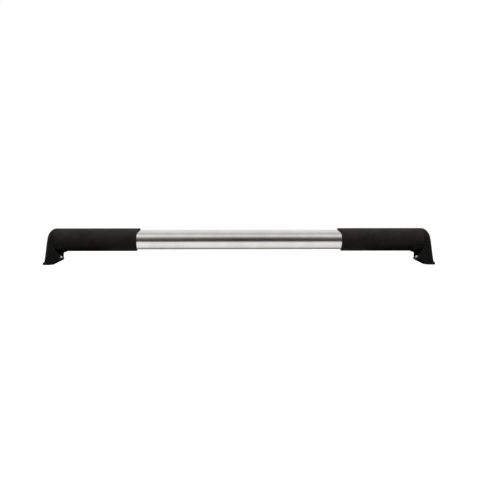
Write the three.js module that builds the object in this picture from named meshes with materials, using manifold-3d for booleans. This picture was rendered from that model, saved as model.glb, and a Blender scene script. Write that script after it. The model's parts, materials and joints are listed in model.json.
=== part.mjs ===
// Bed cargo bar for a pickup truck.
//
// A round aluminium tube crosses the bed. Each end of the tube slides in a black sleeve, and
// each sleeve is screwed to a cast foot that stands on the bed rail through a rubber pad. A clamp
// jaw under the foot is drawn up by two nuts and grips the inner lip of the rail. A grub screw
// under the mouth of the sleeve locks the length.
//
// Millimetres. +X runs along the bar, +Z is up and -Y is the front. The origin is at the middle
// of the bar, on the plane of the two soles.

import * as THREE from 'three';
import { mergeVertices } from 'three/addons/utils/BufferGeometryUtils.js';
import Module from 'manifold-3d';

const wasm = await Module();
wasm.setup();

// ---- driving dimensions ---------------------------------------------------------------------

const GAP = 0.3; // clearance between pieces that touch
const HALF_LENGTH = 750; // middle of the bar to the tip of a toe
const AXIS_HEIGHT = 96.5; // tube axis above the soles
const RING_SEGMENTS = 64;
const BUSH_SEGMENTS = 48;
const SMALL_SEGMENTS = 20;

const TUBE_RADIUS = 38.1;
const TUBE_WALL = 3.2;
const TUBE_HALF_LENGTH = 610;

const SLEEVE_RADIUS = 43.9;
const SLEEVE_BORE = 40.9;
const LAND_BORE = 38.6; // the mouth of the sleeve closes down to the tube
const MOUTH_X = 392.5;
const LAND_END_X = 444;
const RIM_NOSE = 13.2; // how far the top of the rim reaches over the tube
const RIM_RISE_START = THREE.MathUtils.degToRad(24);
const RIM_RISE_SPAN = THREE.MathUtils.degToRad(66);
const RIM_CHAMFER = 0.8;
const SEAM_X = 706.6; // the sleeve meets the foot here

const EXTEND = 60; // each end pulls out this far
const BUSH_RADIUS = SLEEVE_BORE - GAP;
const BUSH_BORE = TUBE_RADIUS + GAP;
const MOUTH_BUSH_LENGTH = 28;
const LINER_END_X = TUBE_HALF_LENGTH - 2;

const FOOT_WALL = 5.5;
const TOE_X = 747; // outer edge of the casting, just inside the toe of the pad
const TOE_TOP = 10;
const FOOT_BLOCK = [640, 760]; // a length of the bar that holds the whole foot
const CUT_START_X = 600; // tools that cut round the tube axis start here
const SOLE_INNER_X = 721; // where the flat sole turns into the sloped underside
const SLOPE = THREE.MathUtils.degToRad(26);
const FOOT_INNER_X = 681.5; // inner edge of the cheeks
const LUG_INNER_X = 675.6; // inner face of the lug and the web
const PAD_THICKNESS = 5;
const PAD_INNER_X = 709;
const PLAN_CORNER = 12; // rounding of the outer corners seen from above
const SPIGOT_INNER_X = 664;
const SPIGOT_BORE = 33;
const SADDLE_START_X = 656;
const SADDLE_OUTER = 50; // radius of the saddle under the sleeve
const SADDLE_EDGE = THREE.MathUtils.degToRad(56); // the saddle reaches this far round the sleeve
const WEB_HALF_WIDTH = 7.5;
const LUG_HALF_WIDTH = 20.7;
const LUG_START = 39; // distance up the slope where the lug begins
const LUG_TOP = 31;
const POCKET_CEILING = 45.5; // top of the room for a spanner over each nut
const POCKET_MARGIN = 1.3; // room round the washer
const PAD_EDGE = 1.5; // bevel along the lower edge of the pad's toe
const PAD_LIP_TOP = 9.2; // the pad's toe turns up round the casting to this height
const PAD_LIP_BEVEL = 1.2;
const PAD_LIP_EDGE = 7.4; // the upright face of the toe ends here

const STUD_Y = 14; // the two studs of a foot stand this far either side of the middle
const STUD_ALONG = 47.2; // distance up the slope from the end of the flat sole
const STUD_RADIUS = 3;
const STUD_TOP = 17.4;
const STUD_CHAMFER = 0.7;
const STUD_HEAD_RADIUS = 4.6;
const STUD_HEAD_BOTTOM = 0.25;
const STUD_HEAD_TOP = 1.1;
const HEAD_RECESS_RADIUS = 4.9; // recesses for the stud heads and for the sleeve screws
const CHANNEL_DEPTH = 2.6; // the jaw lies in this channel
const FLOOR_TOP = 5.8;
const WASHER_RADIUS = 5.5;
const WASHER_THICKNESS = 1.2;
const NUT_FLATS = 10;
const NUT_HEIGHT = 5;
const JAW_HALF_WIDTH = 18.4;
const JAW_START = 15;
const JAW_END = 51.6;
const JAW_BOTTOM = 0.2;
const SLOPE_END = 70; // beyond the inner end of the sloped underside

const LOCK_X = 425;
const LOCK_RADIUS = 3;
const INSERT_RADIUS = 5;
const SHOE_THICKNESS = 1.1;
const SHOE_TRAVEL = 0.7; // room over the shoe inside the insert
const SOCKET_RADIUS = 1.7; // hexagon sockets, across their corners
const SLEEVE_SCREW_X = 672;
const SLEEVE_SCREW_ANGLE = THREE.MathUtils.degToRad(38); // away from straight down
const SLEEVE_SCREW_SEAT = 47.4; // distance of the head's seat from the tube axis
const SLEEVE_SCREW_RADIUS = 2.5;
const SCREW_HEAD_RADIUS = 4.5;
const SCREW_HEAD_HEIGHT = 2.6;
const SCREW_HEAD_ROUND = 1.2;

// ---- materials --------------------------------------------------------------------------------

function finish(color, roughness, metalness) {
  return () => new THREE.MeshStandardMaterial({ color, roughness, metalness });
}

const anodised = finish(0xc9cacb, 0.35, 0.9);
const sleevePlastic = finish(0x17171a, 0.55, 0.0);
const castBlack = finish(0x141415, 0.6, 0.2);
const rubber = finish(0x0d0d0e, 0.85, 0.0);
const zinc = finish(0xc6c8ca, 0.3, 0.95);
const blackSteel = finish(0x1c1c1e, 0.45, 0.7);
const brass = finish(0xb08d45, 0.35, 0.9);
const nylon = finish(0xd9d6cb, 0.6, 0.0);

// ---- solids -----------------------------------------------------------------------------------

// A closed geometry with its shared vertices merged and its faces turned outwards.
function closed(geometry) {
  const copy = geometry.clone();
  copy.deleteAttribute('normal');
  copy.deleteAttribute('uv');
  const merged = mergeVertices(copy, 1e-4);
  const p = merged.attributes.position;
  const index = merged.index;
  const a = new THREE.Vector3();
  const b = new THREE.Vector3();
  const c = new THREE.Vector3();
  let volume = 0;
  for (let i = 0; i < index.count; i += 3) {
    a.fromBufferAttribute(p, index.getX(i));
    b.fromBufferAttribute(p, index.getX(i + 1));
    c.fromBufferAttribute(p, index.getX(i + 2));
    volume += a.dot(b.cross(c));
  }
  if (volume < 0) {
    for (let i = 0; i < index.count; i += 3) {
      const first = index.getX(i);
      index.setX(i, index.getX(i + 2));
      index.setX(i + 2, first);
    }
  }
  return merged;
}

function solid(geometry) {
  const g = closed(geometry);
  return new wasm.Manifold(new wasm.Mesh({
    numProp: 3,
    vertProperties: new Float32Array(g.attributes.position.array),
    triVerts: new Uint32Array(g.index.array),
  }));
}

function geometryOf(body) {
  const mesh = body.getMesh();
  const g = new THREE.BufferGeometry();
  g.setAttribute('position', new THREE.BufferAttribute(new Float32Array(mesh.vertProperties), 3));
  g.setIndex(new THREE.BufferAttribute(new Uint32Array(mesh.triVerts), 1));
  return g;
}

function join(first, ...others) {
  return others.reduce((body, other) => body.add(other), first);
}

function cut(first, ...others) {
  return others.reduce((body, other) => body.subtract(other), first);
}

// A ring or disc about the X axis: profile points are [radius, x], first and last not repeated.
function turned(profile, segments = RING_SEGMENTS) {
  const points = profile.map(([r, x]) => new THREE.Vector2(r, x));
  points.push(points[0].clone());
  const g = new THREE.LatheGeometry(points, segments);
  g.rotateZ(-Math.PI / 2);
  return g;
}

function ring(inner, outer, x0, x1, segments = RING_SEGMENTS) {
  return turned([[inner, x0], [outer, x0], [outer, x1], [inner, x1]], segments);
}

// The same, lifted to the height of the tube axis.
function onAxis(geometry) {
  return geometry.translate(0, 0, AXIS_HEIGHT);
}

function shapeOf(points) {
  return new THREE.Shape(points.map(([u, v]) => new THREE.Vector2(u, v)));
}

// An outline in X and Z, given a width in Y from y0 to y1.
function slabXZ(points, y0, y1) {
  const g = new THREE.ExtrudeGeometry(shapeOf(points), { depth: y1 - y0, bevelEnabled: false });
  g.rotateX(Math.PI / 2);
  return g.translate(0, y1, 0);
}

// An outline in Y and Z, given a length in X from x0 to x1.
function slabYZ(points, x0, x1) {
  const g = new THREE.ExtrudeGeometry(shapeOf(points), { depth: x1 - x0, bevelEnabled: false });
  const turn = new THREE.Matrix4().makeBasis(
    new THREE.Vector3(0, 1, 0), new THREE.Vector3(0, 0, 1), new THREE.Vector3(1, 0, 0));
  return g.applyMatrix4(turn).translate(x0, 0, 0);
}

// An outline in X and Y, given a height in Z from z0 to z1.
function slabXY(points, z0, z1) {
  const g = new THREE.ExtrudeGeometry(shapeOf(points), { depth: z1 - z0, bevelEnabled: false });
  return g.translate(0, 0, z0);
}

function arc(cx, cz, radius, from, to, steps) {
  return Array.from({ length: steps + 1 }, (_, i) => {
    const angle = from + (to - from) * i / steps;
    return [cx + radius * Math.cos(angle), cz + radius * Math.sin(angle)];
  });
}

function bezier(p0, p1, p2, p3, steps) {
  const curve = new THREE.CubicBezierCurve(
    new THREE.Vector2(...p0), new THREE.Vector2(...p1),
    new THREE.Vector2(...p2), new THREE.Vector2(...p3));
  return curve.getPoints(steps).map((p) => [p.x, p.y]);
}

// Places on the sloped underside: `along` runs up the slope from the end of the flat sole, and
// `above` is the height over the slope, square to it.
function onSlope(along, above) {
  return [
    SOLE_INNER_X - along * Math.cos(SLOPE) + above * Math.sin(SLOPE),
    along * Math.sin(SLOPE) + above * Math.cos(SLOPE),
  ];
}

// ---- tube and bushes ----------------------------------------------------------------------------

function mainTube() {
  const bore = TUBE_RADIUS - TUBE_WALL;
  return closed(onAxis(ring(bore, TUBE_RADIUS, -TUBE_HALF_LENGTH, TUBE_HALF_LENGTH)));
}

function mouthBush() {
  const start = LAND_END_X + GAP;
  const end = start + MOUTH_BUSH_LENGTH;
  return closed(onAxis(ring(BUSH_BORE, BUSH_RADIUS, start, end, BUSH_SEGMENTS)));
}

// The liner on the end of the tube meets the mouth bush when the bar is fully extended.
function tubeLiner() {
  const start = LAND_END_X + MOUTH_BUSH_LENGTH + EXTEND + 2 * GAP;
  return closed(onAxis(ring(BUSH_BORE, BUSH_RADIUS, start, LINER_END_X, BUSH_SEGMENTS)));
}

// ---- sleeve ---------------------------------------------------------------------------------------

// How far the rim reaches over the tube at an angle above the horizontal.
function rimReach(angle) {
  const t = THREE.MathUtils.clamp((angle - RIM_RISE_START) / RIM_RISE_SPAN, 0, 1);
  return RIM_NOSE * (0.5 - 0.5 * Math.cos(Math.PI * t));
}

function sleeve() {
  const g = turned([
    [LAND_BORE, MOUTH_X],
    [SLEEVE_RADIUS - RIM_CHAMFER, MOUTH_X],
    [SLEEVE_RADIUS, MOUTH_X + RIM_CHAMFER],
    [SLEEVE_RADIUS, SEAM_X - GAP],
    [SLEEVE_BORE, SEAM_X - GAP],
    [SLEEVE_BORE, LAND_END_X],
    [LAND_BORE, LAND_END_X],
  ]);
  const p = g.attributes.position;
  for (let i = 0; i < p.count; i += 1) {
    if (p.getX(i) < MOUTH_X + 2 * RIM_CHAMFER) {
      const angle = Math.atan2(p.getZ(i), Math.abs(p.getY(i)));
      p.setX(i, p.getX(i) - rimReach(angle));
    }
  }
  const holes = [-1, 1].map((side) => sleeveScrewHole(side, SLEEVE_SCREW_RADIUS + GAP));
  const insertHole = lockDrill(INSERT_RADIUS + GAP, LAND_BORE - 2, SLEEVE_RADIUS + 2);
  return geometryOf(cut(solid(onAxis(g)), ...holes, insertHole));
}

// ---- foot -------------------------------------------------------------------------------------------

// The outer edge of the foot from the seam down to the toe.
function flank() {
  const top = [SEAM_X, AXIS_HEIGHT + SLEEVE_RADIUS];
  const shoulder = [730.4, 108];
  const corner = bezier(top, [718, 137.5], [728, 120], shoulder, 8);
  const down = bezier(shoulder, [735.5, 84], [738.5, 44], [743.7, 14], 5).slice(1);
  return [...corner, ...down, [TOE_X, TOE_TOP]];
}

function footOutline() {
  const top = PAD_THICKNESS + GAP;
  const [lowX, lowZ] = onSlope((SOLE_INNER_X - FOOT_INNER_X) / Math.cos(SLOPE), 0);
  const instep = bezier([lowX, lowZ], [684.5, 46], [706, 52], [SEAM_X, 75], 8);
  const step = onSlope((SOLE_INNER_X - PAD_INNER_X) / Math.cos(SLOPE), 0);
  return [
    ...flank(),
    [TOE_X, top],
    [SOLE_INNER_X + 1, top],
    [PAD_INNER_X - GAP, step[1] + top / Math.cos(SLOPE)],
    [PAD_INNER_X - GAP, step[1] + 0.2],
    ...instep,
  ];
}

// Seen along the bar the foot is an arch: straight sides and a round top.
function archOutline(halfWidth, bottom) {
  return [
    [halfWidth, bottom],
    ...arc(0, AXIS_HEIGHT, halfWidth, 0, Math.PI, 32),
    [-halfWidth, bottom],
  ];
}

function planOutline(outer) {
  const half = SLEEVE_RADIUS + 1;
  const width = SLEEVE_RADIUS - PLAN_CORNER;
  return [
    [FOOT_BLOCK[0], -half],
    [outer - PLAN_CORNER, -half],
    ...arc(outer - PLAN_CORNER, -width, PLAN_CORNER, -Math.PI / 2, 0, 5),
    ...arc(outer - PLAN_CORNER, width, PLAN_CORNER, 0, Math.PI / 2, 5),
    [outer - PLAN_CORNER, half],
    [FOOT_BLOCK[0], half],
  ];
}

function cavityOutline() {
  return [
    [711, 68],
    [706, 56],
    [703, 46],
    [703, 16],
    [735, 13],
    [734, 40],
    [729, 84],
    [724, 106],
    [717, 122],
    [711, 127],
  ];
}

// The saddle wraps the underside of the sleeve and runs down into the web.
function saddleOutline() {
  const down = -Math.PI / 2;
  const edge = SLEEVE_RADIUS + 3 * GAP;
  const half = [
    ...arc(0, AXIS_HEIGHT, SADDLE_OUTER, down + 0.3, down + 0.77, 5),
    [edge * Math.sin(SADDLE_EDGE), AXIS_HEIGHT - edge * Math.cos(SADDLE_EDGE)],
  ];
  const web = [
    [WEB_HALF_WIDTH, 20],
    [WEB_HALF_WIDTH, 41],
    [WEB_HALF_WIDTH + 2, 45],
  ];
  const rightSide = [...web, ...half];
  const leftSide = rightSide.map(([y, z]) => [-y, z]).reverse();
  return [...rightSide, ...leftSide];
}

// The saddle grows out of the sleeve in a hollow curve and turns down into the lug.
function saddleSweep() {
  return turned([
    [0, SADDLE_START_X],
    [SLEEVE_RADIUS + GAP, SADDLE_START_X],
    [45.6, 668],
    [47.6, 672],
    [50.6, 674.8],
    [54.5, LUG_INNER_X + 0.5],
    [90, LUG_INNER_X],
    [90, SEAM_X + 1],
    [0, SEAM_X + 1],
  ]);
}

// A drill square to the slope, at one of the two studs.
function studDrill(y, radius, from, to) {
  const g = new THREE.CylinderGeometry(radius, radius, to - from, SMALL_SEGMENTS);
  g.rotateX(Math.PI / 2).translate(0, 0, (from + to) / 2).rotateY(SLOPE);
  const [x, z] = onSlope(STUD_ALONG, 0);
  return solid(g.translate(x, y, z));
}

// A drill towards the tube axis, at one of the two screws that hold the sleeve.
function sleeveScrewHole(side, radius, from = SPIGOT_BORE - 2, to = SADDLE_OUTER + 12) {
  const g = new THREE.CylinderGeometry(radius, radius, to - from, SMALL_SEGMENTS);
  g.rotateX(Math.PI / 2).translate(0, 0, -(from + to) / 2).rotateX(side * SLEEVE_SCREW_ANGLE);
  return solid(g.translate(SLEEVE_SCREW_X, 0, AXIS_HEIGHT));
}

function lockDrill(radius, from, to) {
  const g = new THREE.CylinderGeometry(radius, radius, to - from, SMALL_SEGMENTS);
  g.rotateX(Math.PI / 2);
  return solid(g.translate(LOCK_X, 0, AXIS_HEIGHT - (from + to) / 2));
}

function foot() {
  const width = SLEEVE_RADIUS;
  const leg = solid(slabXZ(footOutline(), -width - 1, width + 1))
    .intersect(solid(slabYZ(archOutline(width, 0), ...FOOT_BLOCK)))
    .intersect(solid(slabXY(planOutline(TOE_X), -10, 160)));

  const lugBlock = solid(slabXZ([
    onSlope(LUG_START, 0),
    [LUG_INNER_X, onSlope((SOLE_INNER_X - LUG_INNER_X) / Math.cos(SLOPE), 0)[1]],
    [LUG_INNER_X, LUG_TOP],
    onSlope(LUG_START, FLOOR_TOP),
  ], -LUG_HALF_WIDTH, LUG_HALF_WIDTH));

  const saddle = solid(slabYZ(saddleOutline(), SADDLE_START_X, SEAM_X + 0.5))
    .intersect(solid(onAxis(saddleSweep())));
  const sleeveSpace = solid(onAxis(turned([
    [0, CUT_START_X],
    [SLEEVE_RADIUS + GAP, CUT_START_X],
    [SLEEVE_RADIUS + GAP, SEAM_X],
    [0, SEAM_X],
  ])));
  const underSlope = solid(slabXZ([
    onSlope(-20, 0), onSlope(90, 0), onSlope(90, -60), onSlope(-20, -60),
  ], -50, 50));

  const spigot = solid(onAxis(ring(SPIGOT_BORE, SLEEVE_BORE - GAP, SPIGOT_INNER_X, SEAM_X + 1)));

  const pocketWall = STUD_ALONG - WASHER_RADIUS - POCKET_MARGIN;
  const pocketTop = (POCKET_CEILING - onSlope(pocketWall, 0)[1]) / Math.cos(SLOPE);
  const pockets = [-1, 1].map((side) => {
    const near = side * (WEB_HALF_WIDTH + 0.01);
    const far = side * LUG_HALF_WIDTH;
    return solid(slabXZ([
      onSlope(pocketWall, FLOOR_TOP),
      onSlope(pocketWall, pocketTop),
      [SADDLE_START_X + 4, POCKET_CEILING],
      onSlope(SLOPE_END, FLOOR_TOP),
    ], Math.min(near, far), Math.max(near, far)));
  });
  const channel = solid(slabXZ([
    onSlope(JAW_START - GAP, -5), onSlope(SLOPE_END, -5),
    onSlope(SLOPE_END, CHANNEL_DEPTH), onSlope(JAW_START - GAP, CHANNEL_DEPTH),
  ], -JAW_HALF_WIDTH - GAP, JAW_HALF_WIDTH + GAP));

  const cavity = solid(slabXZ(cavityOutline(), -60, 60))
    .intersect(solid(slabYZ(archOutline(SLEEVE_RADIUS - FOOT_WALL, 0), ...FOOT_BLOCK)));
  const spigotBore = solid(onAxis(turned([
    [0, CUT_START_X],
    [SPIGOT_BORE, CUT_START_X],
    [SPIGOT_BORE, SEAM_X + 6],
    [0, SEAM_X + 6],
  ])));

  const studHoles = [-1, 1].map((side) => studDrill(side * STUD_Y, STUD_RADIUS + GAP, -10, 12));
  const screwHoles = [-1, 1].flatMap((side) => [
    sleeveScrewHole(side, SLEEVE_SCREW_RADIUS + GAP),
    sleeveScrewHole(side, HEAD_RECESS_RADIUS, SLEEVE_SCREW_SEAT),
  ]);

  const shell = join(leg, lugBlock, saddle.subtract(underSlope)).subtract(sleeveSpace);
  const hollows = [...pockets, channel, cavity, spigotBore];
  return geometryOf(cut(join(shell, spigot), ...hollows, ...studHoles, ...screwHoles));
}

// ---- base pad ---------------------------------------------------------------------------------------

function basePad() {
  const inner = onSlope((SOLE_INNER_X - PAD_INNER_X) / Math.cos(SLOPE), 0);
  const outline = [
    [SOLE_INNER_X + 4, 0],
    [HALF_LENGTH - PAD_EDGE, 0],
    [HALF_LENGTH, PAD_EDGE],
    [HALF_LENGTH, PAD_LIP_EDGE],
    [HALF_LENGTH - PAD_LIP_BEVEL, PAD_LIP_TOP],
    [TOE_X + GAP, PAD_LIP_TOP],
    [TOE_X + GAP, PAD_THICKNESS],
    [SOLE_INNER_X + 1, PAD_THICKNESS],
    [PAD_INNER_X, inner[1] + PAD_THICKNESS / Math.cos(SLOPE)],
    inner,
    [SOLE_INNER_X - 4, 4 * Math.tan(SLOPE) + 0.05],
  ];
  const plan = solid(slabXY(planOutline(HALF_LENGTH), -5, 20));
  const width = SLEEVE_RADIUS;
  return geometryOf(solid(slabXZ(outline, -width, width)).intersect(plan));
}

// ---- clamp --------------------------------------------------------------------------------------------

function clampJaw() {
  const top = CHANNEL_DEPTH - GAP;
  const plate = solid(slabXZ([
    onSlope(JAW_START, JAW_BOTTOM), onSlope(JAW_END, JAW_BOTTOM),
    onSlope(JAW_END, top), onSlope(JAW_START, top),
  ], -JAW_HALF_WIDTH, JAW_HALF_WIDTH));
  const holes = [-1, 1].flatMap((side) => [
    studDrill(side * STUD_Y, STUD_RADIUS + GAP, -2, 6),
    studDrill(side * STUD_Y, HEAD_RECESS_RADIUS, -2, STUD_HEAD_TOP + GAP),
  ]);
  return geometryOf(cut(plate, ...holes));
}

// The next three are modelled along +Z, from the slope's surface up, and turned into place.
function clampStud() {
  const g = new THREE.LatheGeometry([
    new THREE.Vector2(0, STUD_HEAD_BOTTOM),
    new THREE.Vector2(STUD_HEAD_RADIUS, STUD_HEAD_BOTTOM),
    new THREE.Vector2(STUD_HEAD_RADIUS, STUD_HEAD_TOP),
    new THREE.Vector2(STUD_RADIUS, STUD_HEAD_TOP),
    new THREE.Vector2(STUD_RADIUS, STUD_TOP - STUD_CHAMFER),
    new THREE.Vector2(STUD_RADIUS - STUD_CHAMFER, STUD_TOP),
    new THREE.Vector2(0, STUD_TOP),
  ], SMALL_SEGMENTS);
  return closed(g.rotateX(Math.PI / 2));
}

function ringAlongZ(inner, outer, z0, z1, segments) {
  const g = new THREE.LatheGeometry([
    new THREE.Vector2(inner, z0),
    new THREE.Vector2(outer, z0),
    new THREE.Vector2(outer, z1),
    new THREE.Vector2(inner, z1),
    new THREE.Vector2(inner, z0),
  ], segments);
  return g.rotateX(Math.PI / 2);
}

function clampWasher() {
  const bottom = FLOOR_TOP + GAP;
  const top = bottom + WASHER_THICKNESS;
  return closed(ringAlongZ(STUD_RADIUS + GAP, WASHER_RADIUS, bottom, top, SMALL_SEGMENTS));
}

function clampNut() {
  const bottom = FLOOR_TOP + 2 * GAP + WASHER_THICKNESS;
  const corner = NUT_FLATS / 2 / Math.cos(Math.PI / 6);
  const g = new THREE.CylinderGeometry(corner, corner, NUT_HEIGHT, 6);
  g.rotateX(Math.PI / 2).translate(0, 0, bottom + NUT_HEIGHT / 2);
  const bore = new THREE.CylinderGeometry(STUD_RADIUS + GAP, STUD_RADIUS + GAP, 40, SMALL_SEGMENTS);
  return geometryOf(solid(g).subtract(solid(bore.rotateX(Math.PI / 2))));
}

// ---- screws ---------------------------------------------------------------------------------------------

// A pan-head screw along +Z with the underside of its head at z = 0 and its shank above.
function sleeveScrew() {
  const head = SCREW_HEAD_RADIUS;
  const length = SLEEVE_SCREW_SEAT - SPIGOT_BORE - 1;
  const g = new THREE.LatheGeometry([
    new THREE.Vector2(0, -SCREW_HEAD_HEIGHT),
    new THREE.Vector2(head - SCREW_HEAD_ROUND, -SCREW_HEAD_HEIGHT),
    new THREE.Vector2(head, SCREW_HEAD_ROUND - SCREW_HEAD_HEIGHT),
    new THREE.Vector2(head, -GAP),
    new THREE.Vector2(SLEEVE_SCREW_RADIUS, -GAP),
    new THREE.Vector2(SLEEVE_SCREW_RADIUS, length - 1),
    new THREE.Vector2(SLEEVE_SCREW_RADIUS - 1, length),
    new THREE.Vector2(0, length),
  ], SMALL_SEGMENTS);
  const socket = new THREE.CylinderGeometry(SOCKET_RADIUS, SOCKET_RADIUS, 3, 6);
  socket.rotateX(Math.PI / 2).translate(0, 0, -SCREW_HEAD_HEIGHT);
  return geometryOf(solid(g.rotateX(Math.PI / 2)).subtract(solid(socket)));
}

function lockInsert() {
  const inner = LAND_BORE + SHOE_THICKNESS + SHOE_TRAVEL;
  const body = lockDrill(INSERT_RADIUS, inner, SLEEVE_RADIUS - GAP);
  return geometryOf(body.subtract(lockDrill(LOCK_RADIUS + GAP, inner - 5, SLEEVE_RADIUS + 5)));
}

function lockShoe() {
  const inner = TUBE_RADIUS + GAP;
  return geometryOf(lockDrill(INSERT_RADIUS - 0.2, inner, inner + SHOE_THICKNESS));
}

function lockScrew() {
  const inner = TUBE_RADIUS + 2 * GAP + SHOE_THICKNESS;
  const body = lockDrill(LOCK_RADIUS, inner, SLEEVE_RADIUS - 0.1);
  const socket = new THREE.CylinderGeometry(SOCKET_RADIUS, SOCKET_RADIUS, 5, 6);
  socket.rotateX(Math.PI / 2).translate(LOCK_X, 0, AXIS_HEIGHT - SLEEVE_RADIUS);
  return geometryOf(body.subtract(solid(socket)));
}

// ---- assembly ---------------------------------------------------------------------------------------------

function named(name, geometry, material) {
  const mesh = new THREE.Mesh(geometry, material());
  mesh.name = name;
  return mesh;
}

function place(mesh, x, y, z, rx, ry) {
  mesh.position.set(x, y, z);
  mesh.rotation.set(rx, ry, 0);
  return mesh;
}

// One end of the bar, drawn for the right side. The left end is the same end turned half round.
function barEnd(side, turn) {
  const end = new THREE.Group();
  end.add(
    named(`${side}_sleeve`, sleeve(), sleevePlastic),
    named(`${side}_foot`, foot(), castBlack),
    named(`${side}_base_pad`, basePad(), rubber),
    named(`${side}_mouth_bush`, mouthBush(), nylon),
    named(`${side}_tube_liner`, tubeLiner(), nylon),
    named(`${side}_clamp_jaw`, clampJaw(), zinc),
    named(`${side}_lock_insert`, lockInsert(), brass),
    named(`${side}_lock_shoe`, lockShoe(), nylon),
    named(`${side}_lock_screw`, lockScrew(), blackSteel),
  );
  const [studX, studZ] = onSlope(STUD_ALONG, 0);
  for (const local of [-1, 1]) {
    const facing = (turn === 0) === (local < 0) ? 'front' : 'rear';
    const clampPieces = [
      named(`${side}_${facing}_stud`, clampStud(), zinc),
      named(`${side}_${facing}_washer`, clampWasher(), zinc),
      named(`${side}_${facing}_nut`, clampNut(), zinc),
    ];
    for (const piece of clampPieces) {
      end.add(place(piece, studX, local * STUD_Y, studZ, 0, SLOPE));
    }
    const angle = local * SLEEVE_SCREW_ANGLE;
    const screw = named(`${side}_${facing}_sleeve_screw`, sleeveScrew(), blackSteel);
    end.add(place(
      screw,
      SLEEVE_SCREW_X,
      SLEEVE_SCREW_SEAT * Math.sin(angle),
      AXIS_HEIGHT - SLEEVE_SCREW_SEAT * Math.cos(angle),
      angle,
      0,
    ));
  }
  end.rotation.z = turn;
  return end;
}

const bar = new THREE.Group();
bar.add(named('main_tube', mainTube(), anodised));
bar.add(barEnd('right', 0));
bar.add(barEnd('left', Math.PI));

export default bar;
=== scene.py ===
import json
import math

import bpy
import numpy as np
from mathutils import Matrix, Vector

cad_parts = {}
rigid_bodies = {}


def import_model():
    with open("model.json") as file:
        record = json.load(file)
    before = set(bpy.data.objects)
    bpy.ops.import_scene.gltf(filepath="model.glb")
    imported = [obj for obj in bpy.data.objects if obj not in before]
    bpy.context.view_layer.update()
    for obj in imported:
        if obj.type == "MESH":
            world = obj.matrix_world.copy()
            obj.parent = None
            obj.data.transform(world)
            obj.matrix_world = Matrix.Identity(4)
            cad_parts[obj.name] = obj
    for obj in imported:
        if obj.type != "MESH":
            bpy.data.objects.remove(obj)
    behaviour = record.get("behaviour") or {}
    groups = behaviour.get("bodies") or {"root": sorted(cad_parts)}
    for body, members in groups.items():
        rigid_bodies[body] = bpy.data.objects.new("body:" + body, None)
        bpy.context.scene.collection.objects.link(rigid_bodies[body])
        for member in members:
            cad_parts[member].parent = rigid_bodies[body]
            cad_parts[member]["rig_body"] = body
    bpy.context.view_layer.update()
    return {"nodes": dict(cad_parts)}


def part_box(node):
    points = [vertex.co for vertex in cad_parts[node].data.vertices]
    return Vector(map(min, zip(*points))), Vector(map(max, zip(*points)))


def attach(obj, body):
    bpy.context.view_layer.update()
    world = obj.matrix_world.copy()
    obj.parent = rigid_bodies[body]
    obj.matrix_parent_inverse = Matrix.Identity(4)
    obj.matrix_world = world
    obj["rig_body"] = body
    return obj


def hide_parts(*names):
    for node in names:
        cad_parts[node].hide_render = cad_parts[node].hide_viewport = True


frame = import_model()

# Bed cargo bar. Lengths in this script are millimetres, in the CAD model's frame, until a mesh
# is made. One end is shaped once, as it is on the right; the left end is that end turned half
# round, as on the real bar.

MM = 0.001


def box_mm(node):
    """A CAD node's lowest and highest corner in millimetres."""
    low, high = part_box(node)
    return low / MM, high / MM


# ---- sizes that the frame gives -------------------------------------------------------------

TUBE_LOW, TUBE_HIGH = box_mm("main_tube")
SLEEVE_LOW, SLEEVE_HIGH = box_mm("right_sleeve")
FOOT_HIGH = box_mm("right_foot")[1]
PAD_LOW, PAD_HIGH = box_mm("right_base_pad")
BUSH_LOW, BUSH_HIGH = box_mm("right_mouth_bush")
LINER_LOW, LINER_HIGH = box_mm("right_tube_liner")
SHOE_LOW, SHOE_HIGH = box_mm("right_lock_shoe")

GAP = 0.3
AXIS = (TUBE_LOW.z + TUBE_HIGH.z) / 2
TUBE_RADIUS = TUBE_HIGH.y
SLEEVE_RADIUS = SLEEVE_HIGH.y
SLEEVE_BORE = BUSH_HIGH.y + GAP
SEAM_X = SLEEVE_HIGH.x + GAP
FOOT_OUTER_X = FOOT_HIGH.x
TOE_X = PAD_HIGH.x
LOCK_X = (SHOE_LOW.x + SHOE_HIGH.x) / 2

# ---- sizes that no box shows ----------------------------------------------------------------

TUBE_WALL = 3.2
LAND_BORE = 38.6
LAND_END_X = BUSH_LOW.x - GAP
RIM_NOSE = 13.2
MOUTH_X = SLEEVE_LOW.x + RIM_NOSE
RIM_RISE_START = math.radians(24)
RIM_RISE_SPAN = math.radians(66)

SLOPE = math.radians(26)
SOLE_INNER_X = 721.0
FOOT_INNER_X = 681.5
LUG_INNER_X = 675.6
LUG_HALF_WIDTH = 20.7
WEB_HALF_WIDTH = 7.5
PAD_THICKNESS = 5.0
PAD_LIP_EDGE = 7.4
PAD_LIP_TOP = 9.2
PAD_LIP_BEVEL = 1.2
TOE_TOP = 10.0
PLAN_CORNER = 12.0
CROWN_CORNER = 2.0
SPIGOT_BORE = 33.0
SPIGOT_INNER_X = 664.0
SADDLE_START_X = 656.0
SADDLE_OUTER = 50.0
FOOT_WALL = 5.5

STUD_Y = 14.0
STUD_ALONG = 47.2
STUD_RADIUS = 3.0
STUD_TOP = 17.4
STUD_THREAD_DEPTH = 0.42
CHANNEL_DEPTH = 2.6
FLOOR_TOP = 5.8
WASHER_THICKNESS = 1.2
WASHER_RADIUS = 5.5
NUT_FLATS = 10.0
NUT_FACE_RADIUS = 4.72
NUT_HEIGHT = 5.0
NUT_CHAMFER = math.radians(30)
BORE_CHAMFER = 0.45
JAW_START = 15.0
JAW_END = 51.6
JAW_HALF_WIDTH = 18.4
JAW_BOTTOM = 0.2
JAW_CORNER = 2.5
HEAD_RECESS_TOP = 1.4
TOOTH_PITCH = 2.4
TOOTH_DEPTH = 0.75
TEETH_MIDDLE = 13.0  # from the start of the jaw
TEETH_HALF_COUNT = 4.5

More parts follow.
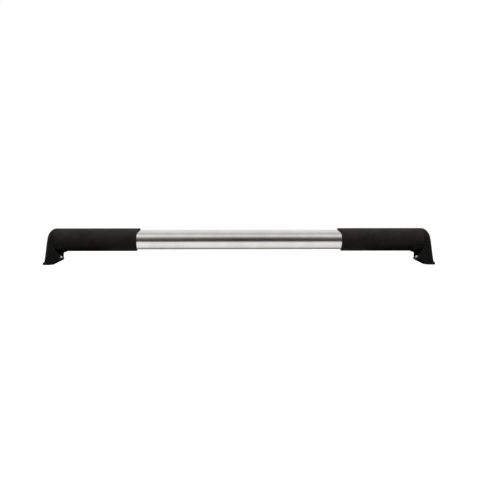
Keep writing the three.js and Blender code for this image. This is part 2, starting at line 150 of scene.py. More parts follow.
SCREW_X = 672.0
SCREW_ANGLE = math.radians(38)
SCREW_SEAT = 47.4
SCREW_RADIUS = 2.5
COUNTERBORE = 4.9
SOCKET_FLATS = 2.9

INSERT_RADIUS = 5.0
INSERT_START = 40.4
KNURL_DEPTH = 0.18
KNURL_SEGMENTS = 96
GRUB_START = 39.8
GRUB_RADIUS = 3.0

ROUND_SEGMENTS = 192
SMALL_SEGMENTS = 60

# ---- meshes -----------------------------------------------------------------------------------


def mesh_object(name, points, faces, side, place=Matrix.Identity(4), normals=None):
    """A smooth mesh object from millimetre points; the left side is turned half round."""
    turn = Matrix.Rotation(math.pi if side == "left" else 0, 4, "Z") @ place
    rotation = np.array(turn.to_3x3())
    moved = np.asarray(points) @ rotation.T + np.array(turn.translation)
    mesh = bpy.data.meshes.new(name)
    mesh.from_pydata((moved * MM).tolist(), [], [list(f) for f in faces])
    mesh.validate()
    mesh.polygons.foreach_set("use_smooth", [True] * len(mesh.polygons))
    if normals is None:
        mesh.set_sharp_from_angle(angle=math.radians(38))
    else:
        mesh.normals_split_custom_set_from_vertices((normals @ rotation.T).tolist())
    mesh.update()
    piece = bpy.data.objects.new(name, mesh)
    bpy.context.scene.collection.objects.link(piece)
    return piece


def volume_of(points, faces):
    """Six times the signed volume inside the faces."""
    total = 0.0
    for face in faces:
        corners = [points[i] for i in face]
        for b, c in zip(corners[1:], corners[2:]):
            total += float(np.dot(corners[0], np.cross(b, c)))
    return total


def loft(rings, wrap):
    """Quads between successive rings. With wrap the last ring meets the first; without it
    the two end rings are closed by fans."""
    count = len(rings[0])
    points = [np.asarray(p, float) for ring in rings for p in ring]
    pairs = [(k, k + 1) for k in range(len(rings) - 1)]
    if wrap:
        pairs.append((len(rings) - 1, 0))
    faces = []
    for a, b in pairs:
        for i in range(count):
            j = (i + 1) % count
            faces.append((a * count + i, a * count + j, b * count + j, b * count + i))
    if not wrap:
        for k, flip in ((0, True), (len(rings) - 1, False)):
            points.append(np.mean(rings[k], axis=0))
            hub = len(points) - 1
            for i in range(count):
                j = (i + 1) % count
                rim = (k * count + i, k * count + j)
                faces.append((rim[1], rim[0], hub) if flip else (rim[0], rim[1], hub))
    if volume_of(points, faces) < 0:
        faces = [tuple(reversed(f)) for f in faces]
    return np.array(points), faces


def angles(count):
    return np.arange(count) * 2 * math.pi / count


def turned_x(profile, segments=ROUND_SEGMENTS):
    """A ring about the tube axis: profile points are (radius, x)."""
    a = angles(segments)
    rings = [
        np.stack([np.full(segments, x), r * np.cos(a), AXIS + r * np.sin(a)], axis=1)
        for r, x in profile
    ]
    return loft(rings, wrap=True)


def turned_z(profile, segments=SMALL_SEGMENTS, wrap=False):
    """A body about local Z: profile points are (radius, z). A radius may be one number, or one
    for each angle, as on a hexagon."""
    a = angles(segments)
    rings = []
    for r, z in profile:
        radius = np.broadcast_to(r, segments)
        height = np.broadcast_to(z, segments)
        rings.append(np.stack([radius * np.cos(a), radius * np.sin(a), height], axis=1))
    return loft(rings, wrap)


def rounded(profile, radii, steps=4):
    """A closed outline with each corner rounded; radii holds one number for each corner."""
    out = []
    count = len(profile)
    for i, radius in enumerate(radii):
        corner = np.array(profile[i], float)
        before = np.array(profile[i - 1], float) - corner
        after = np.array(profile[(i + 1) % count], float) - corner
        if radius == 0:
            out.append(tuple(corner))
            continue
        before = before / np.linalg.norm(before) * radius
        after = after / np.linalg.norm(after) * radius
        for k in range(steps + 1):
            t = k / steps
            point = corner + before * (1 - t) ** 2 + after * t ** 2
            out.append(tuple(point))
    return out


def hexagon(flats, segments=SMALL_SEGMENTS):
    """The radius of a hexagon at each angle."""
    a = angles(segments)
    return flats / 2 / np.cos((a + math.pi / 6) % (math.pi / 3) - math.pi / 6)


def thread_rings(radius, depth, pitch, start, end, segments=36, rows=8):
    """Rings of a helical thread along Z, fading out at both ends."""
    heights = np.arange(start, end, pitch / rows)
    turn = angles(segments) / (2 * math.pi)
    rings = []
    for z in heights:
        phase = (z / pitch - turn) % 1
        groove = np.clip(1.3 * np.abs(2 * phase - 1) - 0.15, 0, 1)
        fade = min(1.0, (z - start) / pitch, (end - z) / pitch)
        rings.append((radius - depth * groove * fade, z))
    return rings


# ---- fields: solids as distances, negative inside -------------------------------------------


def polygon_distance(points, u, v):
    """Signed distance to a closed outline."""
    u, v = np.broadcast_arrays(u, v)
    nearest = np.full(u.shape, np.inf)
    inside = np.zeros(u.shape, bool)
    for (au, av), (bu, bv) in zip(points, points[1:] + points[:1]):
        eu, ev = bu - au, bv - av
        t = np.clip(((u - au) * eu + (v - av) * ev) / (eu * eu + ev * ev), 0, 1)
        nearest = np.minimum(nearest, (u - au - eu * t) ** 2 + (v - av - ev * t) ** 2)
        if ev != 0:
            inside ^= ((av > v) != (bv > v)) & (u < eu * (v - av) / ev + au)
    return np.where(inside, -1.0, 1.0) * np.sqrt(nearest)


def both(a, b, r=0.4):
    """Where both fields are inside, with the edge rounded to radius r."""
    reach = np.hypot(np.maximum(a + r, 0), np.maximum(b + r, 0))
    return np.minimum(-r, np.maximum(a, b)) + reach


def either(a, b, r=0.4):
    """Where one or the other is inside, with a fillet of radius r between them."""
    return -both(-a, -b, r)


def without(a, b, r=0.4):
    """Field a with field b taken away."""
    return both(a, -b, r)


def ramp(value, start, end):
    t = np.clip((value - start) / (end - start), 0, 1)
    return t * t * (3 - 2 * t)


def gradient(field, points, reach=0.05):
    out = np.zeros_like(points)
    for axis in range(3):
        step = np.zeros(3)
        step[axis] = reach
        out[:, axis] = (field(*(points + step).T) - field(*(points - step).T)) / (2 * reach)
    return out


def edge_crossings(values, axis):
    """For each grid edge along an axis: whether the surface crosses it, and where from 0 to 1."""
    first = np.take(values, range(values.shape[axis] - 1), axis)
    second = np.take(values, range(1, values.shape[axis]), axis)
    crosses = (first < 0) != (second < 0)
    where = np.where(crosses, first / np.where(crosses, first - second, 1), 0)
    return crosses, where, first < 0


def polygonise(field, low, high, step):
    """The surface of a field as a quad mesh with a point in each grid cell that it crosses,
    settled onto the surface. Returns points, faces and normals."""
    low = np.array(low, float)
    grid = [np.arange(a, b + step, step) for a, b in zip(low, high)]
    shape = tuple(len(g) for g in grid)
    gx, gy, gz = grid[0][:, None, None], grid[1][None, :, None], grid[2][None, None, :]
    values = np.array(np.broadcast_to(field(gx, gy, gz), shape))
    cells = tuple(n - 1 for n in shape)
    offset = np.zeros(cells + (3,))
    hits = np.zeros(cells, int)
    crossings = [edge_crossings(values, axis) for axis in range(3)]
    for axis, (crosses, where, _) in enumerate(crossings):
        u, v = [k for k in range(3) if k != axis]
        for du in (0, 1):
            for dv in (0, 1):
                part = [slice(None)] * 3
                part[u] = slice(du, du + cells[u])
                part[v] = slice(dv, dv + cells[v])
                hit = crosses[tuple(part)]
                offset[..., axis] += where[tuple(part)]
                offset[..., u] += du * hit
                offset[..., v] += dv * hit
                hits += hit
    used = hits > 0
    number = np.full(cells, -1)
    number[used] = np.arange(int(used.sum()))
    points = low + (np.argwhere(used) + offset[used] / hits[used][:, None]) * step
    faces = []
    for axis, (crosses, _, first_inside) in enumerate(crossings):
        u, v = (axis + 1) % 3, (axis + 2) % 3
        at = np.argwhere(crosses)
        at = at[(at[:, u] > 0) & (at[:, u] < cells[u]) & (at[:, v] > 0) & (at[:, v] < cells[v])]
        corners = []
        for du, dv in ((-1, -1), (0, -1), (0, 0), (-1, 0)):
            cell = at.copy()
            cell[:, u] += du
            cell[:, v] += dv
            corners.append(number[tuple(cell.T)])
        quads = np.stack(corners, axis=1)
        outwards = first_inside[tuple(at.T)]
        quads[~outwards] = quads[~outwards][:, ::-1]
        faces.append(quads)
    for _ in range(4):
        slope = gradient(field, points)
        steep = np.maximum((slope ** 2).sum(axis=1), 0.05)
        move = -(field(*points.T) / steep)[:, None] * slope
        points = points + np.clip(move, -step / 2, step / 2)
    normals = gradient(field, points)
    normals /= np.maximum(np.linalg.norm(normals, axis=1), 1e-6)[:, None]
    return points, np.concatenate(faces).tolist(), normals


# ---- places on the sloped underside ----------------------------------------------------------


def on_slope(along, above):
    """(x, z) at a distance up the slope from the end of the flat sole, and a height over it."""
    x = SOLE_INNER_X - along * math.cos(SLOPE) + above * math.sin(SLOPE)
    return x, along * math.sin(SLOPE) + above * math.cos(SLOPE)


def slope_place(along, y):
    """The frame of a part that stands square to the slope: local Z is away from the slope."""
    x, z = on_slope(along, 0)
    return Matrix.Translation((x, y, z)) @ Matrix.Rotation(SLOPE, 4, "Y")


def bezier(p0, p1, p2, p3, steps):
    t = np.linspace(0, 1, steps + 1)[:, None]
    p = [np.array(q, float) for q in (p0, p1, p2, p3)]
    curve = (1 - t) ** 3 * p[0] + 3 * t * (1 - t) ** 2 * p[1]
    curve = curve + 3 * t ** 2 * (1 - t) * p[2] + t ** 3 * p[3]
    return [tuple(q) for q in curve]


# ---- the cast foot ----------------------------------------------------------------------------


def slope_height(x):
    """The height of the sloped underside at x."""
    return (SOLE_INNER_X - x) * math.tan(SLOPE)


def foot_outlines():
    """The outlines of the foot in X and Z, each open towards the side that it doesn't bound."""
    crown = AXIS + SLEEVE_RADIUS
    corner = bezier((SEAM_X, crown), (718, 137.5), (728, 120), (730.4, 108), 12)
    down = bezier((730.4, 108), (735.5, 84), (738.5, 44), (743.7, 14), 10)[1:]
    flank = [(SEAM_X - 57, crown + 14.5), *corner, *down, (FOOT_OUTER_X, TOE_TOP)]
    flank += [(FOOT_OUTER_X, -60), (500, -60), (500, crown + 14.5)]

    low = (FOOT_INNER_X, slope_height(FOOT_INNER_X))
    instep = bezier(low, (684.5, 46), (706, 52), (SEAM_X, 75), 12)
    inner = [(FOOT_INNER_X, -60), *instep, (SEAM_X, 220), (900, 220), (900, -60)]

    top = PAD_THICKNESS + GAP
    step_x = PAD_LOW.x - GAP
    step_z = slope_height(PAD_LOW.x)
    under = [
        (900, top),
        (SOLE_INNER_X + 1, top),
        (step_x, step_z + top / math.cos(SLOPE)),
        (step_x, slope_height(step_x)),
        (560, slope_height(560)),
        (560, 300),
        (900, 300),
    ]
    return flank, inner, under


FLANK, INNER, UNDER = foot_outlines()
POCKET_WALL = STUD_ALONG - 6.8
POCKET_CEILING = 45.5
POCKET_TOP = (POCKET_CEILING - on_slope(POCKET_WALL, 0)[1]) / math.cos(SLOPE)
POCKET = [
    on_slope(POCKET_WALL, FLOOR_TOP),
    on_slope(POCKET_WALL, POCKET_TOP),
    (650, POCKET_CEILING),
    on_slope(85, FLOOR_TOP),
]
CAVITY = [
    (711, 68), (706, 56), (703, 46), (703, 16), (735, 13),
    (734, 40), (729, 84), (724, 106), (717, 122), (711, 127),
]
SADDLE_LIP_X = SADDLE_START_X + 8
SADDLE_SWEEP = [
    (0, SADDLE_LIP_X), (47.3, SADDLE_LIP_X), (47.5, 668), (48.3, 672),
    (50.6, 674.8), (54.5, 676.1), (90, LUG_INNER_X), (90, SEAM_X + 1), (0, SEAM_X + 1),
]


def saddle_half():
    """Half of the saddle's outline seen along the bar, from the middle outwards."""
    arc = [
        (SADDLE_OUTER * math.sin(a), AXIS - SADDLE_OUTER * math.cos(a))
        for a in np.linspace(0.0, 0.77, 9)
    ]
    edge = math.radians(56)
    tip = SLEEVE_RADIUS + 2.2
    arc.append((tip * math.sin(edge), AXIS - tip * math.cos(edge)))
    return [(-5, arc[0][1]), *arc, (-5, arc[-1][1])]


SADDLE_HALF = saddle_half()
WEB_HALF = [
    (-5, -20), (WEB_HALF_WIDTH, -20), (WEB_HALF_WIDTH, 41), (WEB_HALF_WIDTH + 2, 47), (-5, 47),
]


def leg_field(x, y, z):
    """The hollow leg's outer form: a round-topped elbow that flares to the toe."""
    side = np.abs(y)
    rise = z - AXIS
    radial = np.hypot(y, rise)
    arch = np.where(rise > 0, radial, side)
    upness = (np.clip(rise, 0, None) / np.maximum(radial, 1e-6)) ** 2
    corner = PLAN_CORNER + (CROWN_CORNER - PLAN_CORNER) * upness
    outer = both(polygon_distance(FLANK, x, z), arch - SLEEVE_RADIUS, corner)
    edge = 1.8 - 1.2 * ramp(z, 68, 82)
    return both(outer, polygon_distance(INNER, x, z), edge)


def pedestal_field(x, y, z):
    """The lug that the studs pass through, and the web between its two pockets."""
    side = np.abs(y)
    above = (x - SOLE_INNER_X) * math.sin(SLOPE) + z * math.cos(SLOPE)
    lug = both(above - FLOOR_TOP, side - LUG_HALF_WIDTH, 1.4)
    web = polygon_distance(WEB_HALF, side, z)
    return both(either(lug, web, 1.6), np.maximum(LUG_INNER_X - x, x - 714), 1.2)


def saddle_field(x, y, z):
    """The cradle under the sleeve."""
    radial = np.hypot(y, z - AXIS)
    outline = polygon_distance(SADDLE_HALF, np.abs(y), z)
    return both(outline, polygon_distance(SADDLE_SWEEP, radial, x), 0.6)


def foot_field(x, y, z):
    side = np.abs(y)
    rise = z - AXIS
    radial = np.hypot(y, rise)
    arch = np.where(rise > 0, radial, side)
    above = (x - SOLE_INNER_X) * math.sin(SLOPE) + z * math.cos(SLOPE)
    along = z * math.sin(SLOPE) - (x - SOLE_INNER_X) * math.cos(SLOPE)

    body = either(pedestal_field(x, y, z), saddle_field(x, y, z), 2.5)
    body = either(leg_field(x, y, z), body, 2.5)
    body = both(body, polygon_distance(UNDER, x, z), 0.8)
    sleeve_space = np.maximum(radial - SLEEVE_RADIUS - GAP, x - SEAM_X)
    body = without(body, sleeve_space, 0.35)
    wall = (SLEEVE_BORE - GAP - SPIGOT_BORE) / 2
    reach = (SEAM_X + 2 - SPIGOT_INNER_X) / 2
    along_spigot = np.abs(x - SPIGOT_INNER_X - reach) - reach
    spigot = both(np.abs(radial - SPIGOT_BORE - wall) - wall, along_spigot, 0.7)
    body = either(body, spigot, 0.8)

    pocket_half = (LUG_HALF_WIDTH - WEB_HALF_WIDTH) / 2
    pocket_side = np.abs(side - WEB_HALF_WIDTH - pocket_half) - pocket_half
    body = without(body, both(polygon_distance(POCKET, x, z), pocket_side, 1.5), 0.9)
    channel = np.maximum(above - CHANNEL_DEPTH, side - JAW_HALF_WIDTH - GAP)
    channel = np.maximum(JAW_START - GAP - along, channel)
    body = without(body, channel, 0.4)
    cavity = both(polygon_distance(CAVITY, x, z), arch - SLEEVE_RADIUS + FOOT_WALL, 4)
    body = without(body, either(cavity, np.maximum(radial - SPIGOT_BORE, x - SEAM_X - 6), 2), 0.8)

    stud = np.maximum(np.hypot(along - STUD_ALONG, side - STUD_Y) - STUD_RADIUS - GAP, above - 12)
    body = without(body, stud, 0.3)
    outwards = side * math.sin(SCREW_ANGLE) - rise * math.cos(SCREW_ANGLE)
    across = side * math.cos(SCREW_ANGLE) + rise * math.sin(SCREW_ANGLE)
    away = np.hypot(x - SCREW_X, across)
    hole = np.maximum(away - SCREW_RADIUS - GAP, SPIGOT_BORE - 3 - outwards)
    seat = np.maximum(away - COUNTERBORE, SCREW_SEAT - outwards)
    return without(body, np.minimum(hole, seat), 0.3)


def foot_mesh():
    low = (SADDLE_START_X - 2, -SLEEVE_RADIUS - 2, PAD_THICKNESS - 1)
    high = (FOOT_OUTER_X + 2, SLEEVE_RADIUS + 2, AXIS + SLEEVE_RADIUS + 2)
    return polygonise(foot_field, low, high, 1.3)


# ---- base pad ---------------------------------------------------------------------------------

PAD_OUTLINE = [
    (SOLE_INNER_X + 2, 0),
    (TOE_X - 1.5, 0),
    (TOE_X, 1.5),
    (TOE_X, PAD_LIP_EDGE),
    (TOE_X - PAD_LIP_BEVEL, PAD_LIP_TOP),
    (FOOT_OUTER_X + GAP, PAD_LIP_TOP),
    (FOOT_OUTER_X + GAP, PAD_THICKNESS),
    (SOLE_INNER_X + 1, PAD_THICKNESS),
    (PAD_LOW.x, slope_height(PAD_LOW.x) + PAD_THICKNESS / math.cos(SLOPE)),
    (PAD_LOW.x, slope_height(PAD_LOW.x)),
    (SOLE_INNER_X - 2, slope_height(SOLE_INNER_X - 2)),
]
RIB_PITCH = 4.5


def pad_field(x, y, z):
    """The rubber pad with a lip round the toe and anti-slip grooves across its sole."""
    plan = both(x - TOE_X, np.abs(y) - SLEEVE_RADIUS, PLAN_CORNER)
    body = both(both(polygon_distance(PAD_OUTLINE, x, z), plan, 0.7), plan, 0.7)
    first = SOLE_INNER_X + 5
    cell = (x - first + RIB_PITCH / 2) % RIB_PITCH - RIB_PITCH / 2
    span = np.abs(x - first - 1.5 * RIB_PITCH) - 1.9 * RIB_PITCH
    groove = np.maximum(np.maximum(np.hypot(cell, z) - 0.9, span), np.abs(y) - SLEEVE_RADIUS + 5)
    return without(body, groove, 0.25)


def pad_mesh():
    low = (PAD_LOW.x - 1.5, -SLEEVE_RADIUS - 1.5, -1.5)
    high = (TOE_X + 1.5, SLEEVE_RADIUS + 1.5, 14.5)
    return polygonise(pad_field, low, high, 0.8)


# ---- clamp ------------------------------------------------------------------------------------


def jaw_field(along, y, above):
    """The clamp plate in the slope's own directions, with teeth across its gripping half."""
    top = CHANNEL_DEPTH - GAP
    half = (JAW_END - JAW_START) / 2
    plan = both(np.abs(along - JAW_START - half) - half, np.abs(y) - JAW_HALF_WIDTH, JAW_CORNER)
    body = both(plan, np.abs(above - (top + JAW_BOTTOM) / 2) - (top - JAW_BOTTOM) / 2, 0.35)
    tooth = np.abs((along / TOOTH_PITCH) % 1 - 0.5) * 2
    toothed = np.abs(along - JAW_START - TEETH_MIDDLE) - TEETH_HALF_COUNT * TOOTH_PITCH
    teeth = np.maximum(above - JAW_BOTTOM - TOOTH_DEPTH * (1 - tooth), toothed)
    body = without(body, np.maximum(teeth, np.abs(y) - JAW_HALF_WIDTH + JAW_CORNER) * 0.7, 0.15)
    away = np.hypot(along - STUD_ALONG, np.abs(y) - STUD_Y)
    recess = np.maximum(away - COUNTERBORE, above - HEAD_RECESS_TOP)
    return without(body, np.minimum(away - STUD_RADIUS - GAP, recess), 0.2)


def jaw_mesh():
    low = (JAW_START - 1, -JAW_HALF_WIDTH - 1, -0.8)
    high = (JAW_END + 1, JAW_HALF_WIDTH + 1, CHANNEL_DEPTH + 0.8)
    points, faces, normals = polygonise(jaw_field, low, high, 0.5)
    along_axis = np.array([-math.cos(SLOPE), 0, math.sin(SLOPE)])
    above_axis = np.array([math.sin(SLOPE), 0, math.cos(SLOPE)])
    turn = np.stack([along_axis, np.array([0, 1, 0]), above_axis])
    placed = points @ turn + np.array([SOLE_INNER_X, 0, 0])
    # the slope's own directions are left-handed, so the faces turn over
    return placed, [f[::-1] for f in faces], normals @ turn


def stud_mesh():
    """A stud with a thin head, a helical thread and a chamfered end."""
    head = [(0.6, 0.25), (4.3, 0.25), (4.6, 0.5), (4.6, 0.9), (4.4, 1.1), (3.2, 1.1), (3.0, 1.25)]
    thread = thread_rings(STUD_RADIUS, STUD_THREAD_DEPTH, 1.0, 2.2, STUD_TOP - 0.6)
    end = [(2.55, STUD_TOP - 0.25), (2.3, STUD_TOP), (0.6, STUD_TOP)]
    return turned_z([*head, *thread, *end], segments=36)


def washer_mesh():
    bottom = FLOOR_TOP + GAP
    top = bottom + WASHER_THICKNESS
    bore = STUD_RADIUS + GAP
    profile = [(bore, bottom), (WASHER_RADIUS, bottom), (WASHER_RADIUS, top), (bore, top)]
    return turned_z(rounded(profile, [0.1, 0.3, 0.35, 0.15], 3), wrap=True)


def nut_mesh():
    """A hexagon nut: flats, 30 degree chamfers at both faces and a chamfered bore."""
    bottom = FLOOR_TOP + 2 * GAP + WASHER_THICKNESS
    top = bottom + NUT_HEIGHT
    face = NUT_FACE_RADIUS
    outline = hexagon(NUT_FLATS, 72)
    drop = np.maximum(outline - face, 0.05) * math.tan(NUT_CHAMFER)
    bore = STUD_RADIUS + GAP
    mouth = bore + BORE_CHAMFER
    profile = [
        (mouth, bottom), (face, bottom), (outline, bottom + drop), (outline, top - drop),
        (face, top), (mouth, top), (bore, top - BORE_CHAMFER), (bore, bottom + BORE_CHAMFER),
    ]
    return turned_z(profile, segments=72, wrap=True)


# ---- screws and lock --------------------------------------------------------------------------


def sleeve_screw_mesh():
    """A button-head screw with a hexagon socket and a threaded shank, head towards -Z."""
    socket = hexagon(SOCKET_FLATS)
    length = SCREW_SEAT - SPIGOT_BORE - 1
    profile = [
        (0.3, -1.1), (socket * 0.98, -1.1), (socket, -1.3), (socket, -2.3), (1.95, -2.6),
        (2.6, -2.6), (3.4, -2.35), (4.05, -1.85), (4.4, -1.25), (4.5, -0.75), (4.5, -0.45),
        (4.35, -GAP), (SCREW_RADIUS, -GAP),
    ]
    thread = thread_rings(SCREW_RADIUS, 0.35, 0.8, 0.2, length - 0.6, SMALL_SEGMENTS, 6)
    return turned_z([*profile, *thread, (1.9, length), (0.3, length)])


def grub_mesh():
    """The grub screw; local Z points away from the tube."""
    socket = hexagon(SOCKET_FLATS)
    end = SLEEVE_RADIUS - 0.1
    start = GRUB_START + 0.3
    thread = thread_rings(GRUB_RADIUS, 0.4, 1.0, start, end - 0.25, SMALL_SEGMENTS, 8)
    mouth = [(2.7, end), (1.95, end), (socket, end - 0.3), (socket, end - 2.4), (0.3, end - 2.4)]
    return turned_z([(0.3, GRUB_START), (2.5, GRUB_START), *thread, *mouth])


def insert_mesh():
    """The threaded brass insert, with a knurled outside."""
    end = SLEEVE_RADIUS - GAP
    bore = GRUB_RADIUS + GAP
    knurl = INSERT_RADIUS - KNURL_DEPTH * (np.arange(KNURL_SEGMENTS) % 2)
    profile = [
        (bore, INSERT_START), (INSERT_RADIUS - 0.4, INSERT_START), (knurl, INSERT_START + 0.4),
        (knurl, end - 0.7), (INSERT_RADIUS, end - 0.5), (INSERT_RADIUS, end - 0.15),
        (INSERT_RADIUS - 0.15, end), (bore + 0.3, end), (bore, end - 0.3),
    ]
    return turned_z(profile, segments=KNURL_SEGMENTS, wrap=True)


def shoe_mesh():
    inner = TUBE_RADIUS + GAP
    outer = inner + 1.1
    radius = INSERT_RADIUS - 0.2
    profile = [(0.5, inner), (radius - 0.3, inner), (radius, inner + 0.25), (radius, outer - 0.25)]
    return turned_z([*profile, (radius - 0.3, outer), (0.5, outer)])


# ---- tube, sleeves and bushes ------------------------------------------------------------------


def main_tube_mesh():
    bore = TUBE_RADIUS - TUBE_WALL
    end = TUBE_HIGH.x
    rows = [(TUBE_RADIUS, x) for x in np.linspace(-end + 6, end - 6, 25)]
    chamfer = 0.5
    profile = [
        (bore, -end + chamfer), (bore + chamfer, -end), (TUBE_RADIUS - chamfer, -end),
        (TUBE_RADIUS, -end + chamfer), *rows, (TUBE_RADIUS, end - chamfer),
        (TUBE_RADIUS - chamfer, end), (bore + chamfer, end), (bore, end - chamfer),
    ]
    return turned_x(profile)


def grooved_ring_mesh(low, high):
    """A nylon ring with rounded edges and shallow grease grooves in its bore."""
    bore, outer = TUBE_RADIUS + GAP, high.y
    rounding = 0.5
    inner = [(bore, high.x - rounding), (bore, high.x - 4)]
    count = int((high.x - low.x - 8) / 6)
    for k in range(count):
        x = high.x - 5 - 6 * k
        inner += [(bore, x), (bore + 0.35, x - 0.6), (bore + 0.35, x - 1.4), (bore, x - 2)]
    inner += [(bore, low.x + rounding), (bore + rounding, low.x)]
    profile = [
        (outer - rounding, low.x), (outer, low.x + rounding), (outer, high.x - rounding),
        (outer - rounding, high.x), (bore + rounding, high.x), *inner,
    ]
    return turned_x(profile, 144)


def rim_reach(angle):
    """How far the mouth reaches over the tube at an angle above the horizontal."""
    t = np.clip((angle - RIM_RISE_START) / RIM_RISE_SPAN, 0, 1)
    return RIM_NOSE * (0.5 - 0.5 * np.cos(math.pi * t))


def sleeve_mesh():
    """The moulded sleeve: a rounded rim drawn out over the top of the tube."""
    end = SLEEVE_HIGH.x
    back = MOUTH_X + 30
    lip = [
        (LAND_BORE, MOUTH_X), (SLEEVE_RADIUS, MOUTH_X), (SLEEVE_RADIUS, back), (LAND_BORE, back),
    ]
    rim = rounded(lip, [0.7, 1.5, 0, 0])[:10]
    places = [MOUTH_X + 3, MOUTH_X + 7, *np.linspace(MOUTH_X + 14, end - 3, 24)]
    rows = [(SLEEVE_RADIUS, x) for x in places]
    profile = [
        *rim, *rows, (SLEEVE_RADIUS, end - 0.5), (SLEEVE_RADIUS - 0.15, end - 0.15),
        (SLEEVE_RADIUS - 0.5, end), (SLEEVE_BORE + 0.4, end), (SLEEVE_BORE, end - 0.4),
        (SLEEVE_BORE, LAND_END_X), (LAND_BORE + 0.3, LAND_END_X), (LAND_BORE, LAND_END_X - 0.3),
        (LAND_BORE, MOUTH_X + 3),
    ]
    points, faces = turned_x(profile)
    near = points[:, 0] < MOUTH_X + 2
    angle = np.arctan2(points[:, 2] - AXIS, np.abs(points[:, 1]))
    points[:, 0] -= np.where(near, rim_reach(angle), 0)
    return points, faces


def drill(name, place, radius, start, end):
    """A cutter along local Z."""
    profile = [(0.5, start), (radius, start), (radius, end), (0.5, end)]
    points, faces = turned_z(profile, 48)
    return mesh_object(name, points, faces, "right", place)


def down_place(x):
    """The frame at the tube axis whose local Z points straight down."""
    return Matrix.Translation((x, 0, AXIS)) @ Matrix.Rotation(math.pi, 4, "X")


def screw_place(local):
    """The frame of a sleeve screw: its origin is the seat and local Z points to the axis."""
    angle = local * SCREW_ANGLE
    seat = (SCREW_X, SCREW_SEAT * math.sin(angle), AXIS - SCREW_SEAT * math.cos(angle))
    return Matrix.Translation(seat) @ Matrix.Rotation(angle, 4, "X")


def drilled_sleeve():
    """The sleeve with the holes of its two screws and of the lock insert, as one mesh."""
    points, faces = sleeve_mesh()
    blank = mesh_object("sleeve_blank", points, faces, "right")
    lock_hole = (INSERT_RADIUS + GAP, LAND_BORE - 2, SLEEVE_RADIUS + 2)
    cutters = [drill("lock_drill", down_place(LOCK_X), *lock_hole)]
    for local in (-1, 1):
        cutters.append(drill("screw_drill", screw_place(local), SCREW_RADIUS + GAP, -4, 12))
    for cutter in cutters:
        hole = blank.modifiers.new("hole", "BOOLEAN")
        hole.object = cutter
        hole.operation = "DIFFERENCE"
        hole.solver = "EXACT"
    bpy.context.view_layer.update()
    graph = bpy.context.evaluated_depsgraph_get()
    mesh = bpy.data.meshes.new_from_object(blank.evaluated_get(graph))
    for extra in [blank, *cutters]:
        bpy.data.objects.remove(extra)
    return mesh


def settle_sleeve_normals(mesh, turn):
    """Gives the faces on the sleeve's two long walls the normals of a true cylinder."""
    wanted = []
    for face in mesh.polygons:
        normal = face.normal
        for index in face.loop_indices:
            co = mesh.vertices[mesh.loops[index].vertex_index].co
            radial = Vector((0, co.y, co.z - AXIS * MM)).normalized()
            lean = normal.dot(radial)
            wanted.append(radial * math.copysign(1, lean) if abs(lean) > 0.9985 else Vector())
    mesh.normals_split_custom_set([tuple(n) for n in wanted])
    mesh.transform(turn)
    return mesh


# ---- materials ---------------------------------------------------------------------------------


